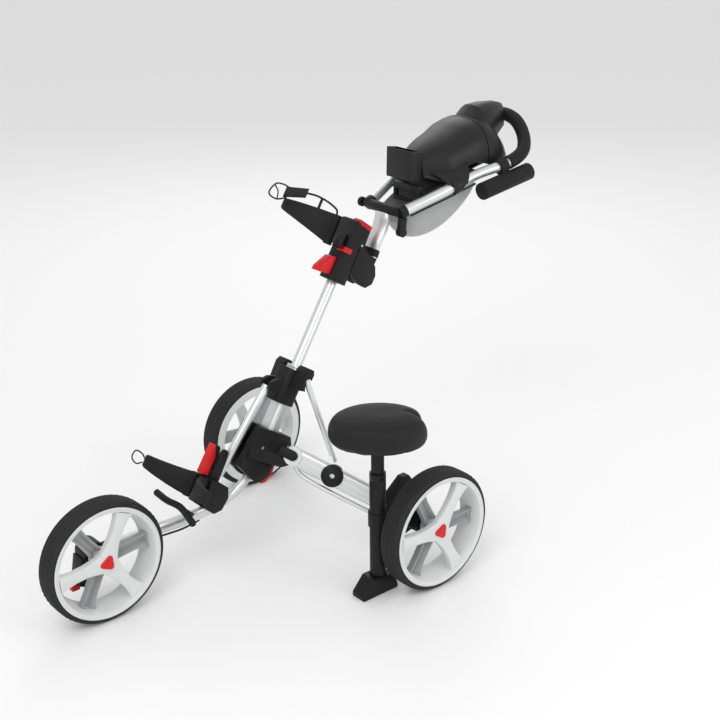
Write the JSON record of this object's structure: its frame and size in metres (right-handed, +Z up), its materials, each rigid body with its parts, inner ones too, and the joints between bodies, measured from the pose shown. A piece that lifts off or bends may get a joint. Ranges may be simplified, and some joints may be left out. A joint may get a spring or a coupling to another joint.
{
  "type": "golf push trolley",
  "caption": "Three-wheel folding golf push trolley with padded bag arms, tilting handle console, net and a clamp-on seat.",
  "frame": {"origin": "middle of the whole trolley's box, on the ground", "axes": "+Z up, -Y the way it is pushed, +X the trolley's left side, the side with the seat"},
  "size_m": [0.7696, 1.3706, 1.014],
  "materials": {
    "silver_tube": "satin silver anodised tube",
    "black_plastic": "black moulded nylon, fine grain",
    "red_plastic": "red moulded plastic",
    "grey_rim": "light grey moulded wheel",
    "tyre_rubber": "black foam-filled tyre",
    "steel": "plain steel",
    "black_tube": "black powder-coated tube",
    "arm_rubber": "soft black rubber",
    "cable_rubber": "black cable sheath",
    "seat_foam": "black padded vinyl",
    "net_fabric": "grey mesh cloth"
  },
  "bodies": {
    "frame": {"main_tube": "silver_tube", "upper_column": "silver_tube", "centre_housing": "black_plastic", "upper_bracket": "black_plastic"},
    "left_leg_frame": {"left_leg": "silver_tube", "left_leg_clamp": "black_plastic", "left_axle_housing": "black_plastic", "left_axle": "steel", "seat_bracket": "black_plastic", "seat_sleeve": "black_tube", "seat_foot": "black_plastic"},
    "right_leg_frame": {"right_leg": "silver_tube", "right_leg_clamp": "black_plastic", "right_axle_housing": "black_plastic", "right_axle": "steel"},
    "collar_slider": {"collar": "black_plastic"},
    "left_strut_link": {"left_strut": "silver_tube"},
    "right_strut_link": {"right_strut": "silver_tube"},
    "front_frame": {"front_arm": "silver_tube", "lower_bracket": "black_plastic", "base_rest": "black_plastic", "front_axle_housing": "black_plastic", "front_axle": "steel", "front_brake_cable": "cable_rubber"},
    "rail_link": {"front_rail": "silver_tube"},
    "front_wheel": {"front_tyre": "tyre_rubber", "front_rim": "grey_rim", "front_hub_cap": "red_plastic"},
    "left_wheel": {"left_tyre": "tyre_rubber", "left_rim": "grey_rim", "left_hub_cap": "red_plastic"},
    "right_wheel": {"right_tyre": "tyre_rubber", "right_rim": "grey_rim", "right_hub_cap": "red_plastic"},
    "fold_lever_body": {"fold_lever": "red_plastic"},
    "strap_lever_body": {"strap_lever": "red_plastic"},
    "lower_left_bag_arm": {"lower_left_arm": "arm_rubber"},
    "lower_right_bag_arm": {"lower_right_arm": "arm_rubber"},
    "upper_left_bag_arm": {"upper_left_arm": "arm_rubber"},
    "upper_right_bag_arm": {"upper_right_arm": "arm_rubber"},
    "bracket_lever_body": {"bracket_lever": "red_plastic"},
    "height_button_body": {"height_button": "red_plastic"},
    "handle_latch_body": {"handle_latch": "red_plastic"},
    "handle_arm_frame": {"handle_clevis": "black_plastic", "handle_arm": "silver_tube"},
    "console_frame": {"crossbar": "black_plastic", "handle_tube": "silver_tube", "grip": "arm_rubber", "console_body": "black_plastic", "net": "net_fabric", "upper_brake_cable": "cable_rubber", "accessory_holder": "arm_rubber"},
    "tilt_knob_body": {"tilt_knob": "black_plastic"},
    "lid": {"console_lid": "black_plastic", "card_holder": "black_plastic"},
    "brake_lever_body": {"brake_lever": "red_plastic"},
    "brake_pin_body": {"brake_plunger": "steel"},
    "wheel_release_tab": {"front_release_tab": "red_plastic"},
    "seat_stem": {"seat_post": "black_tube"},
    "seat_cushion": {"seat_pad": "seat_foam"}
  },
  "joints": [
    {"name": "leg_fold", "type": "hinge", "parent": "frame", "child": "left_leg_frame", "pos_m": [0.04556, -0.06331, 0.2754], "axis": [-0.6419, 0.6531, -0.4018], "range_deg": [0, 42]},
    {"name": "right_leg_fold", "type": "hinge", "parent": "frame", "child": "right_leg_frame", "pos_m": [-0.05444, -0.06331, 0.2754], "axis": [-0.6419, -0.6531, 0.4018], "range_deg": [0, 42]},
    {"name": "collar_slide", "type": "slide", "parent": "frame", "child": "collar_slider", "axis": [0, -0.524, -0.8517], "range_m": [0, 0.0641]},
    {"name": "left_strut_swing", "type": "hinge", "parent": "collar_slider", "child": "left_strut_link", "pos_m": [0.03956, -0.01769, 0.46037], "axis": [-0.7228, 0.6529, -0.2265], "range_deg": [0, 2.76]},
    {"name": "right_strut_swing", "type": "hinge", "parent": "collar_slider", "child": "right_strut_link", "pos_m": [-0.04844, -0.01769, 0.46037], "axis": [-0.7228, -0.6529, 0.2265], "range_deg": [0, 2.76]},
    {"name": "front_fold", "type": "hinge", "parent": "frame", "child": "front_frame", "pos_m": [-0.00444, -0.13231, 0.243], "axis": [1, 0, 0], "range_deg": [0, 45.34]},
    {"name": "rail_swing", "type": "hinge", "parent": "collar_slider", "child": "rail_link", "pos_m": [-0.00444, -0.09631, 0.449], "axis": [1, 0, 0], "range_deg": [0, 14.41]},
    {"name": "front_wheel_spin", "type": "hinge", "parent": "front_frame", "child": "front_wheel", "pos_m": [-0.03644, -0.53931, 0.146], "axis": [1, 0, 0], "continuous": true},
    {"name": "left_wheel_spin", "type": "hinge", "parent": "left_leg_frame", "child": "left_wheel", "pos_m": [0.34656, 0.10769, 0.146], "axis": [1, 0, 0], "continuous": true},
    {"name": "right_wheel_spin", "type": "hinge", "parent": "right_leg_frame", "child": "right_wheel", "pos_m": [-0.35544, 0.10769, 0.146], "axis": [-1, 0, 0], "continuous": true},
    {"name": "fold_lever_pull", "type": "hinge", "parent": "frame", "child": "fold_lever_body", "pos_m": [-0.00444, -0.09778, 0.2443], "axis": [1, 0, 0], "range_deg": [0, 15]},
    {"name": "lower_strap_release", "type": "hinge", "parent": "front_frame", "child": "strap_lever_body", "pos_m": [-0.00444, -0.28404, 0.29079], "axis": [1, 0, 0], "range_deg": [-20, 0]},
    {"name": "lower_left_arm_swing", "type": "hinge", "parent": "front_frame", "child": "lower_left_bag_arm", "pos_m": [0.01256, -0.30808, 0.25744], "axis": [0, 0.524, 0.8517], "range_deg": [-12, 15]},
    {"name": "lower_right_arm_swing", "type": "hinge", "parent": "front_frame", "child": "lower_right_bag_arm", "pos_m": [-0.02144, -0.30808, 0.25744], "axis": [0, 0.524, 0.8517], "range_deg": [-15, 12]},
    {"name": "upper_left_arm_swing", "type": "hinge", "parent": "frame", "child": "upper_left_bag_arm", "pos_m": [0.01256, 0.11814, 0.76895], "axis": [0, 0.524, 0.8517], "range_deg": [-12, 15]},
    {"name": "upper_right_arm_swing", "type": "hinge", "parent": "frame", "child": "upper_right_bag_arm", "pos_m": [-0.02144, 0.11814, 0.76895], "axis": [0, 0.524, 0.8517], "range_deg": [-15, 12]},
    {"name": "height_clamp_release", "type": "hinge", "parent": "frame", "child": "bracket_lever_body", "pos_m": [-0.00444, 0.10681, 0.72191], "axis": [1, 0, 0], "range_deg": [-20, 0]},
    {"name": "height_button_press", "type": "slide", "parent": "frame", "child": "height_button_body", "axis": [0, 0.524, 0.8517], "range_m": [-0.003, 0], "stiffness_N_per_m": 800},
    {"name": "handle_latch_lift", "type": "hinge", "parent": "frame", "child": "handle_latch_body", "pos_m": [-0.00444, 0.17906, 0.78783], "axis": [1, 0, 0], "range_deg": [0, 15]},
    {"name": "handle_fold", "type": "hinge", "parent": "frame", "child": "handle_arm_frame", "pos_m": [-0.00444, 0.18806, 0.65549], "axis": [1, 0, 0], "range_deg": [-100, 0]},
    {"name": "console_tilt", "type": "hinge", "parent": "handle_arm_frame", "child": "console_frame", "pos_m": [-0.00444, 0.26769, 0.803], "axis": [1, 0, 0], "range_deg": [-15, 25]},
    {"name": "tilt_knob_turn", "type": "hinge", "parent": "console_frame", "child": "tilt_knob_body", "pos_m": [-0.08444, 0.26769, 0.803], "axis": [1, 0, 0], "range_deg": [-180, 180]},
    {"name": "lid_open", "type": "hinge", "parent": "console_frame", "child": "lid", "pos_m": [-0.00444, 0.51969, 0.99], "axis": [1, 0, 0], "range_deg": [-80, 0]},
    {"name": "brake_lever_squeeze", "type": "hinge", "parent": "console_frame", "child": "brake_lever_body", "pos_m": [-0.00444, 0.58169, 0.934], "axis": [1, 0, 0], "range_deg": [0, 12], "stiffness_Nm_per_rad": 0.6},
    {"name": "brake_pin", "type": "slide", "parent": "front_frame", "child": "brake_pin_body", "axis": [1, 0, 0], "range_m": [0, 0.004]},
    {"name": "wheel_release_press", "type": "slide", "parent": "front_frame", "child": "wheel_release_tab", "axis": [0, 0, -1], "range_m": [0, 0.003], "stiffness_N_per_m": 900},
    {"name": "seat_height", "type": "slide", "parent": "left_leg_frame", "child": "seat_stem", "axis": [0, 0, 1], "range_m": [0, 0.08]},
    {"name": "seat_swivel", "type": "hinge", "parent": "seat_stem", "child": "seat_cushion", "pos_m": [0.28356, -0.00931, 0.4], "axis": [0, 0, 1], "continuous": true}
  ],
  "couplings": [
    {"joint": "right_leg_fold", "follows": "leg_fold", "ratio": 1},
    {"joint": "collar_slide", "follows": "leg_fold", "m_per_rad": 0.08731},
    {"joint": "left_strut_swing", "follows": "leg_fold", "ratio": 0.06327},
    {"joint": "right_strut_swing", "follows": "leg_fold", "ratio": 0.06327},
    {"joint": "front_fold", "follows": "leg_fold", "ratio": 1.0772},
    {"joint": "rail_swing", "follows": "leg_fold", "ratio": 0.34064},
    {"joint": "brake_pin", "follows": "brake_lever_squeeze", "m_per_rad": 0.01814}
  ]
}
